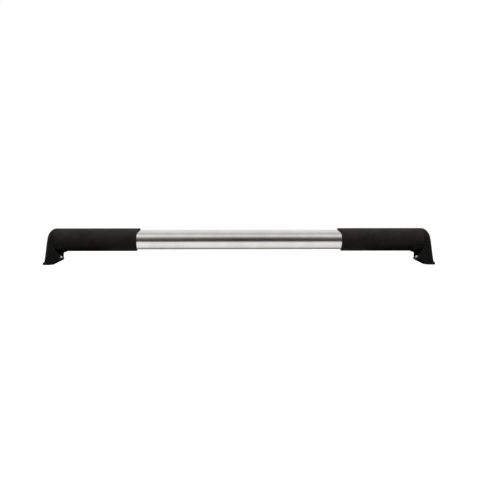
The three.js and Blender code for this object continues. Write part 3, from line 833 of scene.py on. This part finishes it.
class Finish:
    """A material's node tree with short ways to add the usual nodes. Coordinates are the
    object's own, in metres, so a grain keeps its real size on every piece."""

    def __init__(self, name, roughness, metallic=0.0, specular=0.5):
        self.material = bpy.data.materials.new(name)
        self.material.use_nodes = True
        self.tree = self.material.node_tree
        self.shader = self.tree.nodes["Principled BSDF"]
        self.shader.inputs["Metallic"].default_value = metallic
        self.shader.inputs["Specular IOR Level"].default_value = specular
        self.shader.inputs["Roughness"].default_value = roughness
        self.place = self.add("ShaderNodeTexCoord").outputs["Object"]

    def add(self, kind, **settings):
        node = self.tree.nodes.new(kind)
        for key, value in settings.items():
            setattr(node, key, value)
        return node

    def link(self, source, target):
        self.tree.links.new(source, target)

    def noise(self, scale, detail=3.0, roughness=0.5, stretch=(1, 1, 1)):
        """Fractal noise with `scale` cells to the metre."""
        mapping = self.add("ShaderNodeMapping")
        mapping.inputs["Scale"].default_value = [scale * s for s in stretch]
        self.link(self.place, mapping.inputs["Vector"])
        node = self.add("ShaderNodeTexNoise")
        node.inputs["Scale"].default_value = 1.0
        node.inputs["Detail"].default_value = detail
        node.inputs["Roughness"].default_value = roughness
        self.link(mapping.outputs["Vector"], node.inputs["Vector"])
        return node.outputs["Fac"]

    def cells(self, scale):
        """Rounded grains, `scale` to the metre."""
        node = self.add("ShaderNodeTexVoronoi", feature="SMOOTH_F1")
        node.inputs["Scale"].default_value = scale
        self.link(self.place, node.inputs["Vector"])
        return node.outputs["Distance"]

    def mapped(self, value, low, high, to_low=0.0, to_high=1.0):
        node = self.add("ShaderNodeMapRange")
        node.inputs["From Min"].default_value = low
        node.inputs["From Max"].default_value = high
        node.inputs["To Min"].default_value = to_low
        node.inputs["To Max"].default_value = to_high
        self.link(value, node.inputs["Value"])
        return node.outputs["Result"]

    def worn_edges(self, low=0.515, high=0.58):
        """From 0 on flat places to 1 on sharp outer edges."""
        return self.mapped(self.add("ShaderNodeNewGeometry").outputs["Pointiness"], low, high)

    def mixed(self, factor, first, second):
        """A colour between two; each may be a colour or a socket."""
        node = self.add("ShaderNodeMix", data_type="RGBA")
        self.link(factor, node.inputs["Factor"])
        for name, value in (("A", first), ("B", second)):
            socket = next(s for s in node.inputs if s.name == name and s.type == "RGBA")
            if isinstance(value, tuple):
                socket.default_value = (*value, 1)
            else:
                self.link(value, socket)
        return next(s for s in node.outputs if s.type == "RGBA")

    def scaled(self, value, factor):
        node = self.add("ShaderNodeMath", operation="MULTIPLY")
        node.inputs[1].default_value = factor
        self.link(value, node.inputs[0])
        return node.outputs["Value"]

    def colour(self, socket):
        self.link(socket, self.shader.inputs["Base Color"])

    def roughness(self, socket):
        self.link(socket, self.shader.inputs["Roughness"])

    def bump(self, *layers):
        """Stacks bump layers, each (height socket, strength, depth in millimetres)."""
        below = None
        for height, strength, depth in layers:
            node = self.add("ShaderNodeBump")
            node.inputs["Strength"].default_value = strength
            node.inputs["Distance"].default_value = depth * MM
            self.link(height, node.inputs["Height"])
            if below is not None:
                self.link(below, node.inputs["Normal"])
            below = node.outputs["Normal"]
        self.link(below, self.shader.inputs["Normal"])


def anodised_finish():
    """Satin anodised aluminium with fine drawing lines along the tube."""
    f = Finish("anodised_aluminium", 0.3, metallic=1.0)
    lines = f.noise(1400, 2, 0.6, stretch=(0.004, 1, 1))
    cloud = f.noise(14, 4, 0.55)
    base = f.mixed(f.mapped(cloud, 0.35, 0.65), (0.72, 0.715, 0.71), (0.80, 0.795, 0.785))
    f.colour(f.mixed(f.scaled(f.mapped(lines, 0.55, 0.75), 0.35), base, (0.62, 0.615, 0.61)))
    f.roughness(f.mapped(lines, 0.3, 0.7, 0.16, 0.24))
    f.bump((lines, 0.25, 0.012), (f.noise(3500, 2), 0.15, 0.004))
    return f.material


def black_moulding():
    """The sleeves: matt black with a fine leathery moulded grain, greyer at worn edges."""
    f = Finish("moulded_black", 0.6, specular=0.06)
    cloud = f.noise(22, 5, 0.6)
    base = f.mixed(f.mapped(cloud, 0.35, 0.7), (0.023, 0.020, 0.019), (0.036, 0.032, 0.030))
    scuffs = f.mapped(f.noise(180, 3, 0.7, stretch=(0.15, 1, 1)), 0.62, 0.78, 0, 0.35)
    base = f.mixed(scuffs, base, (0.062, 0.059, 0.057))
    f.colour(f.mixed(f.scaled(f.worn_edges(), 0.15), base, (0.09, 0.09, 0.088)))
    f.roughness(f.mapped(f.noise(900, 3), 0.3, 0.7, 0.52, 0.7))
    f.bump((f.cells(1500), 0.35, 0.05), (f.noise(5200, 2), 0.2, 0.012))
    return f.material


def cast_black():
    """The feet: a casting under black powder coat, with its soft orange-peel."""
    f = Finish("powder_coated_casting", 0.5, specular=0.14)
    cloud = f.noise(35, 5, 0.6)
    base = f.mixed(f.mapped(cloud, 0.35, 0.7), (0.0070, 0.0067, 0.0067), (0.0115, 0.0112, 0.0110))
    dust = f.mapped(f.noise(420, 4, 0.75), 0.6, 0.8, 0, 0.3)
    base = f.mixed(dust, base, (0.032, 0.031, 0.030))
    f.colour(f.mixed(f.scaled(f.worn_edges(0.53, 0.64), 0.5), base, (0.06, 0.06, 0.058)))
    f.roughness(f.mapped(f.noise(260, 3), 0.3, 0.7, 0.42, 0.6))
    f.bump((f.noise(700, 2), 0.3, 0.08), (f.noise(3000, 2), 0.25, 0.015))
    return f.material


def rubber():
    f = Finish("black_rubber", 0.85, specular=0.2)
    base = f.mixed(f.mapped(f.noise(60, 4), 0.35, 0.7), (0.014, 0.014, 0.014), (0.026, 0.026, 0.025))
    f.colour(f.mixed(f.scaled(f.worn_edges(), 0.5), base, (0.055, 0.055, 0.053)))
    f.roughness(f.mapped(f.noise(1200, 3), 0.3, 0.7, 0.76, 0.93))
    f.bump((f.noise(2200, 4, 0.7), 0.4, 0.03))
    return f.material


def zinc_steel():
    """Bright zinc-plated steel with faint spangle and turning marks."""
    f = Finish("zinc_plated_steel", 0.25, metallic=1.0)
    cloud = f.noise(260, 4, 0.6)
    base = f.mixed(f.mapped(cloud, 0.35, 0.65), (0.84, 0.845, 0.86), (0.93, 0.925, 0.91))
    f.colour(f.mixed(f.mapped(f.noise(900, 3), 0.62, 0.75, 0, 0.4), base, (0.62, 0.62, 0.63)))
    f.roughness(f.mapped(f.noise(1500, 3), 0.3, 0.7, 0.3, 0.45))
    f.bump((f.noise(4000, 2), 0.3, 0.01))
    return f.material


def black_steel():
    """Black-oxide screws with bare steel showing faintly on the edges."""
    f = Finish("black_oxide_steel", 0.42, metallic=0.6)
    base = f.mixed(f.mapped(f.noise(700, 3), 0.35, 0.7), (0.035, 0.035, 0.037), (0.06, 0.06, 0.062))
    f.colour(f.mixed(f.scaled(f.worn_edges(0.54, 0.7), 0.6), base, (0.24, 0.24, 0.24)))
    f.roughness(f.mapped(f.noise(2500, 2), 0.3, 0.7, 0.34, 0.52))
    f.bump((f.noise(3800, 2), 0.25, 0.01))
    return f.material


def brass():
    f = Finish("turned_brass", 0.3, metallic=1.0)
    tarnish = f.mapped(f.noise(500, 4), 0.4, 0.7)
    f.colour(f.mixed(tarnish, (0.72, 0.52, 0.22), (0.52, 0.36, 0.15)))
    f.roughness(f.mapped(f.noise(1800, 3), 0.3, 0.7, 0.24, 0.42))
    f.bump((f.noise(4000, 2), 0.25, 0.008))
    return f.material


def nylon():
    """Natural nylon, slightly greased and dirtied."""
    f = Finish("natural_nylon", 0.5, specular=0.45)
    base = f.mixed(f.mapped(f.noise(70, 4), 0.35, 0.7), (0.70, 0.68, 0.61), (0.78, 0.76, 0.70))
    f.colour(f.mixed(f.mapped(f.noise(240, 5, 0.7), 0.6, 0.78, 0, 0.5), base, (0.42, 0.40, 0.35)))
    f.roughness(f.mapped(f.noise(900, 3), 0.3, 0.7, 0.42, 0.6))
    f.bump((f.noise(2600, 3), 0.3, 0.02))
    return f.material


FINISHES = {
    "anodised_tube": anodised_finish(),
    "black_sleeve": black_moulding(),
    "black_cast_foot": cast_black(),
    "rubber_pad": rubber(),
    "zinc_steel": zinc_steel(),
    "black_screw": black_steel(),
    "brass_insert": brass(),
    "nylon": nylon(),
}

# ---- assembly ------------------------------------------------------------------------------------


def fit(piece, node, slot):
    """Gives a piece its finish, and lets it stand for a CAD node and ride on that node's body."""
    piece.data.materials.clear()
    piece.data.materials.append(FINISHES[slot])
    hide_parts(node)
    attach(piece, frame["nodes"][node]["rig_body"])


def build_end(side, shared):
    """All the pieces of one end of the bar."""

    def add(part, shape, slot, place=Matrix.Identity(4)):
        points, faces, *normals = shape
        name = f"{side}_{part}"
        piece = mesh_object(f"{name}_fine", points, faces, side, place, *normals)
        fit(piece, name, slot)

    turn = Matrix.Rotation(math.pi if side == "left" else 0, 4, "Z")
    sleeve_mesh_copy = settle_sleeve_normals(shared["sleeve"].copy(), turn)
    sleeve = bpy.data.objects.new(f"{side}_sleeve_fine", sleeve_mesh_copy)
    bpy.context.scene.collection.objects.link(sleeve)
    fit(sleeve, f"{side}_sleeve", "black_sleeve")

    add("foot", shared["foot"], "black_cast_foot")
    add("base_pad", shared["pad"], "rubber_pad")
    add("clamp_jaw", shared["jaw"], "zinc_steel")
    add("mouth_bush", grooved_ring_mesh(BUSH_LOW, BUSH_HIGH), "nylon")
    add("tube_liner", grooved_ring_mesh(LINER_LOW, LINER_HIGH), "nylon")
    add("lock_insert", insert_mesh(), "brass_insert", down_place(LOCK_X))
    add("lock_shoe", shoe_mesh(), "nylon", down_place(LOCK_X))
    add("lock_screw", grub_mesh(), "black_screw", down_place(LOCK_X))
    for local in (-1, 1):
        facing = "front" if (local < 0) == (side == "right") else "rear"
        place = slope_place(STUD_ALONG, local * STUD_Y)
        add(f"{facing}_stud", stud_mesh(), "zinc_steel", place)
        add(f"{facing}_washer", washer_mesh(), "zinc_steel", place)
        add(f"{facing}_nut", nut_mesh(), "zinc_steel", place)
        add(f"{facing}_sleeve_screw", sleeve_screw_mesh(), "black_screw", screw_place(local))


tube = mesh_object("main_tube_fine", *main_tube_mesh(), "right")
fit(tube, "main_tube", "anodised_tube")
shared_shapes = {
    "sleeve": drilled_sleeve(),
    "foot": foot_mesh(),
    "pad": pad_mesh(),
    "jaw": jaw_mesh(),
}
for end_side in ("left", "right"):
    build_end(end_side, shared_shapes)
bpy.data.meshes.remove(shared_shapes["sleeve"])

# ---- studio --------------------------------------------------------------------------------------

# Lengths from here on are metres.

FLOOR_RADIUS = 25.0
FLOOR_Z = -0.0004
BOUNCE_Z = -0.0008
BACKDROP_RADIUS = 20.0
# Black cards that only reflections see: painted shade standing in for the feet's shadow on the floor
# near them.
SHADE_CARD_Z = -0.003
SHADE_CARD_INNER_X = 0.5
SHADE_CARD_OUTER_X = 0.95
SHADE_CARD_FRONT_Y = -0.1
SHADE_CARD_BACK_Y = 0.7
STANDING_CARD_Y = 0.16
STANDING_CARD_BOTTOM = -0.1
STANDING_CARD_TOP = 0.06


def disc(name, z, radius):
    a = angles(96)
    points = [(radius * math.cos(t), radius * math.sin(t), z) for t in a]
    mesh = bpy.data.meshes.new(name)
    mesh.from_pydata(points, [], [list(range(96))])
    disc_object = bpy.data.objects.new(name, mesh)
    bpy.context.scene.collection.objects.link(disc_object)
    return disc_object


def plain_material(name, colour, emission):
    material = bpy.data.materials.new(name)
    material.use_nodes = True
    shader = material.node_tree.nodes["Principled BSDF"]
    shader.inputs["Base Color"].default_value = (*colour, 1)
    shader.inputs["Roughness"].default_value = 0.9
    shader.inputs["Specular IOR Level"].default_value = 0.0
    shader.inputs["Emission Color"].default_value = (1, 1, 1, 1)
    shader.inputs["Emission Strength"].default_value = emission
    return material


def seen_by(item, camera=False, diffuse=False, glossy=False, shadow=False):
    item.visible_camera = camera
    item.visible_diffuse = diffuse
    item.visible_glossy = glossy
    item.visible_shadow = shadow
    item.visible_transmission = False


def make_floor():
    """The pale floor that is seen, and just under it the grey one that bounces light."""
    floor = disc("floor", FLOOR_Z, FLOOR_RADIUS)
    floor.data.materials.append(plain_material("pale_floor", (0.4, 0.4, 0.4), 0.8))
    seen_by(floor, camera=True)
    bounce = disc("floor_bounce", BOUNCE_Z, FLOOR_RADIUS)
    bounce.data.materials.append(plain_material("floor_light", (0.02, 0.02, 0.02), 0.09))
    seen_by(bounce, diffuse=True)


def make_shade_cards():
    """Black cards under and behind each foot, seen only in reflections: painted shade that darkens
    the reflected floor near and behind the feet, where the feet would shade it.
    """
    black = plain_material("painted_shade_card", (0, 0, 0), 0.0)
    across = (SHADE_CARD_INNER_X, SHADE_CARD_OUTER_X)

    def oblong(a, b):
        return [(across[0], a), (across[1], a), (across[1], b), (across[0], b)]

    lying = [(x, y, SHADE_CARD_Z) for x, y in oblong(SHADE_CARD_FRONT_Y, SHADE_CARD_BACK_Y)]
    upright = oblong(STANDING_CARD_BOTTOM, STANDING_CARD_TOP)
    standing = [(x, STANDING_CARD_Y, z) for x, z in upright]
    for side in (-1, 1):
        for corners in (lying, standing):
            mesh = bpy.data.meshes.new("shade_card")
            mesh.from_pydata([(side * x, y, z) for x, y, z in corners], [], [(0, 1, 2, 3)])
            shade_card = bpy.data.objects.new("shade_card", mesh)
            shade_card.data.materials.append(black)
            bpy.context.scene.collection.objects.link(shade_card)
            # seen in reflections only, as painted shade
            seen_by(shade_card, glossy=True)


def make_backdrop():
    """A white dome round the studio, seen only by the camera."""
    segments, rows = 64, 24
    profile = []
    for k in range(1, rows):
        t = math.pi * k / rows
        profile.append((BACKDROP_RADIUS / MM * math.sin(t), BACKDROP_RADIUS / MM * math.cos(t)))
    points, faces = turned_z(profile, segments)
    dome = mesh_object("backdrop", points, faces, "right")
    dome.data.materials.append(plain_material("white_backdrop", (0, 0, 0), 1.0))
    seen_by(dome, camera=True)


# (angle round the bar from the front in degrees, upwards positive; brightness)
SKY = [
    (-180, 0.95), (-155, 0.7), (-130, 0.2), (-105, 0.8),  # a dim strip low behind the bar
    (-40, 1.0),  # the pale ground before it
    (-20, 0.1), (5, 0.0), (25, 0.2),  # a dark band straight ahead
    (45, 0.75), (70, 0.55),  # the soft sky, with a greyer strip
    (95, 0.85), (180, 0.95),  # overhead and behind
]
# The sky over the dark band is paler towards the sides. MIDDLE and REACH are in the X part of a
# direction; FADE_IN and FADE_OUT are angles round the bar in radians.
SIDE_LIFT = 0.42
SIDE_MIDDLE = 0.04
SIDE_REACH = 0.25
SIDE_FADE_IN = (-0.2, 0.25)
SIDE_FADE_OUT = (0.7, 1.4)


def make_sky():
    """Soft studio light from all round, graded by the angle round the bar."""
    world = bpy.data.worlds.new("studio")
    bpy.context.scene.world = world
    world.use_nodes = True
    world.cycles.sampling_method = "NONE"
    tree = world.node_tree

    def node(kind, *sources, **settings):
        made = tree.nodes.new(kind)
        for key, value in settings.items():
            setattr(made, key, value)
        for index, source in enumerate(sources):
            if isinstance(source, (int, float)):
                made.inputs[index].default_value = source
            else:
                tree.links.new(source, made.inputs[index])
        return made

    place = node("ShaderNodeTexCoord").outputs["Generated"]
    split = node("ShaderNodeSeparateXYZ", place).outputs
    front = node("ShaderNodeMath", split["Y"], -1.0, operation="MULTIPLY").outputs[0]
    angle = node("ShaderNodeMath", split["Z"], front, operation="ARCTAN2").outputs[0]
    turn = node("ShaderNodeMapRange", angle, -math.pi, math.pi).outputs["Result"]
    grade = node("ShaderNodeFloatCurve")
    grade.inputs["Factor"].default_value = 1.0
    tree.links.new(turn, grade.inputs["Value"])
    curve = grade.mapping.curves[0]
    for (degrees, level), point in zip((SKY[0], SKY[-1]), (curve.points[0], curve.points[1])):
        point.location = (degrees / 360 + 0.5, level)
    for degrees, level in SKY[1:-1]:
        curve.points.new(degrees / 360 + 0.5, level)
    grade.mapping.update()
    aside = node("ShaderNodeMath", split["X"], SIDE_MIDDLE, operation="SUBTRACT").outputs[0]
    aside = node("ShaderNodeMath", aside, operation="ABSOLUTE").outputs[0]
    lift = node("ShaderNodeMapRange", aside, 0.0, SIDE_REACH, 0.0, SIDE_LIFT).outputs["Result"]
    above = node("ShaderNodeMapRange", angle, *SIDE_FADE_IN).outputs["Result"]
    below = node("ShaderNodeMapRange", angle, *SIDE_FADE_OUT, 1.0, 0.0).outputs["Result"]
    for part in (above, below):
        lift = node("ShaderNodeMath", lift, part, operation="MULTIPLY").outputs[0]
    level = node("ShaderNodeMath", grade.outputs["Value"], lift, operation="ADD").outputs[0]
    background = tree.nodes["Background"]
    tree.links.new(level, background.inputs["Strength"])
    background.inputs["Color"].default_value = (1.0, 0.99, 0.965, 1)


SOFTBOX_SIZE = (3.2, 1.2)
SOFTBOX_PLACE = (0, -0.5, 2.4)
SOFTBOX_TILT = math.radians(-12)
SOFTBOX_WATTS = 18


def make_softbox():
    """A long softbox over the bar."""
    light = bpy.data.lights.new("softbox", "AREA")
    light.shape = "RECTANGLE"
    light.size, light.size_y = SOFTBOX_SIZE
    light.energy = SOFTBOX_WATTS
    softbox = bpy.data.objects.new("softbox", light)
    softbox.location = SOFTBOX_PLACE
    softbox.rotation_euler = (SOFTBOX_TILT, 0, 0)
    softbox.visible_glossy = False
    bpy.context.scene.collection.objects.link(softbox)


CAMERA_DISTANCE = 3.55
CAMERA_OFFSET = 0.08  # how far the camera stands to the left of the middle
CAMERA_YAW = math.radians(0.4)
CAMERA_ROLL = math.radians(-0.068)
FRAME_WIDTH = 1.8509  # how much of the bar's plane the picture takes in
CAMERA_SHIFT = (0.0319, -0.0009)
SENSOR = 36.0


def make_camera():
    """Level with the tube, a little to the left of the middle, with a long lens."""
    data = bpy.data.cameras.new("camera")
    data.sensor_width = SENSOR
    data.lens = SENSOR * CAMERA_DISTANCE / FRAME_WIDTH
    data.shift_x, data.shift_y = CAMERA_SHIFT
    camera = bpy.data.objects.new("camera", data)
    bpy.context.scene.collection.objects.link(camera)
    ahead = Vector((math.sin(CAMERA_YAW), math.cos(CAMERA_YAW), 0))
    turn = ahead.to_track_quat("-Z", "Y").to_matrix().to_4x4()
    place = Matrix.Translation((-CAMERA_OFFSET, -CAMERA_DISTANCE, AXIS * MM))
    camera.matrix_world = place @ turn @ Matrix.Rotation(CAMERA_ROLL, 4, "Z")
    bpy.context.scene.camera = camera


make_floor()
make_shade_cards()
make_backdrop()
make_sky()
make_softbox()
make_camera()
bpy.context.scene.view_settings.view_transform = "Standard"
